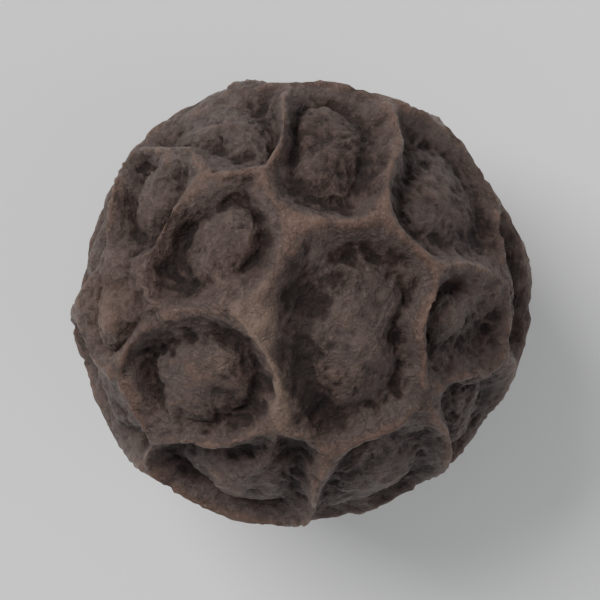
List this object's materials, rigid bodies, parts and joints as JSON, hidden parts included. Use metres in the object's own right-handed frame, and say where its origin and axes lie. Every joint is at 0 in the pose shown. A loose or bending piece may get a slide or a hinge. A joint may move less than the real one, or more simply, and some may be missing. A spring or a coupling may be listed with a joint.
{
  "type": "black peppercorn",
  "caption": "Dried black peppercorn: a round berry whose shrunken skin has folded into a raised net of ridges round shallow cells, with a stalk scar and a blunt tip.",
  "frame": {"origin": "middle of the small flat spot that the peppercorn rests on, under the centre of the berry", "axes": "+Z up from the resting spot through the berry; +X to the right and +Y up in a picture taken from straight above, with the stalk scar low on the +X side and the tip high on the -X side"},
  "size_m": [0.0056, 0.0054, 0.0053],
  "materials": {
    "dried_skin": "matte, wrinkled, brown-black dried fruit skin"
  },
  "bodies": {
    "root": {"peppercorn": "dried_skin"}
  },
  "joints": []
}
